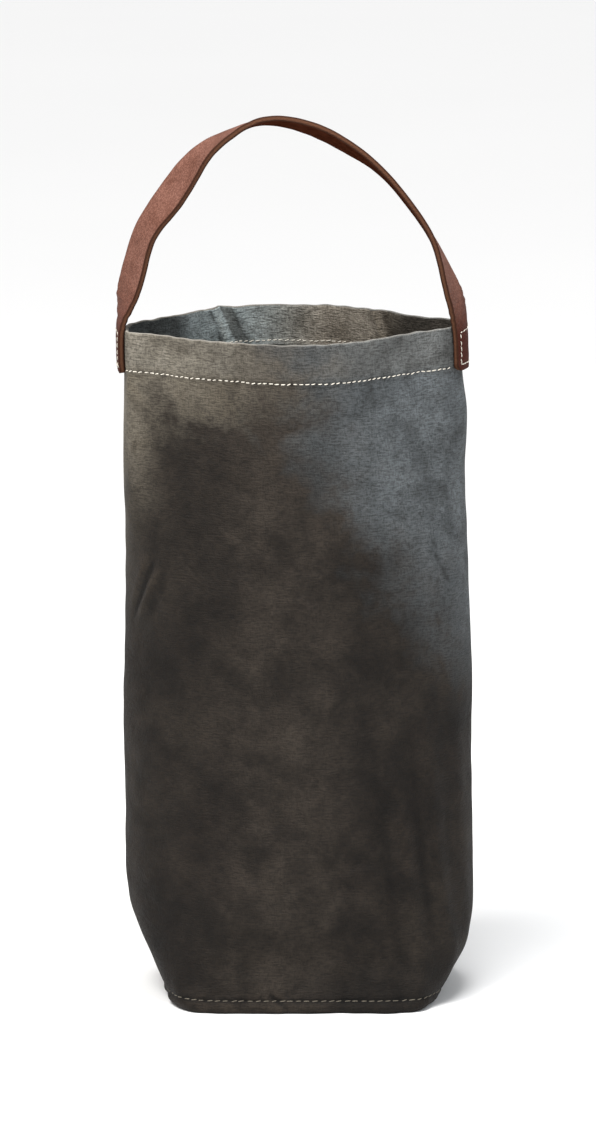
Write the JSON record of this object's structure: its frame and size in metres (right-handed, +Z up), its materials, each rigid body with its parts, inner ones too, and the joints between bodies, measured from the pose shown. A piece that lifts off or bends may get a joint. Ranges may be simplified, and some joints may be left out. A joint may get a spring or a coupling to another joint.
{
  "type": "wine gift bag",
  "caption": "Tall soft open-topped bag for one standing bottle, with a turned and stitched hem, a boxed base and a leather carrying strap that arches over the mouth.",
  "frame": {"origin": "centre of the underside of the base, on the surface the bag stands on", "axes": "+Z up, +X towards the right strap end, +Y towards the back"},
  "size_m": [0.1474, 0.099, 0.3702],
  "materials": {
    "sheet": "satin, fine horizontal wrinkle grain, mottled brown grey",
    "strap_leather": "grained red-brown face, dark cut edges",
    "thread": "matte cream"
  },
  "bodies": {
    "bag": {"front_panel": "sheet", "back_panel": "sheet", "base_panel": "sheet", "hem_stitching_front": "thread", "hem_stitching_back": "thread", "base_stitching": "thread", "side_seam_stitching_left": "thread", "side_seam_stitching_right": "thread", "strap_end_left": "strap_leather", "strap_end_right": "strap_leather", "strap_stitching_left": "thread", "strap_stitching_right": "thread"},
    "handle": {"handle_strap": "strap_leather"}
  },
  "joints": [
    {"name": "handle_swing", "type": "hinge", "parent": "bag", "child": "handle", "pos_m": [-0.0007, -0.0066, 0.2922], "axis": [0.9989, -0.0468, 0], "range_deg": [-85, 85], "stiffness_Nm_per_rad": 0.05}
  ]
}
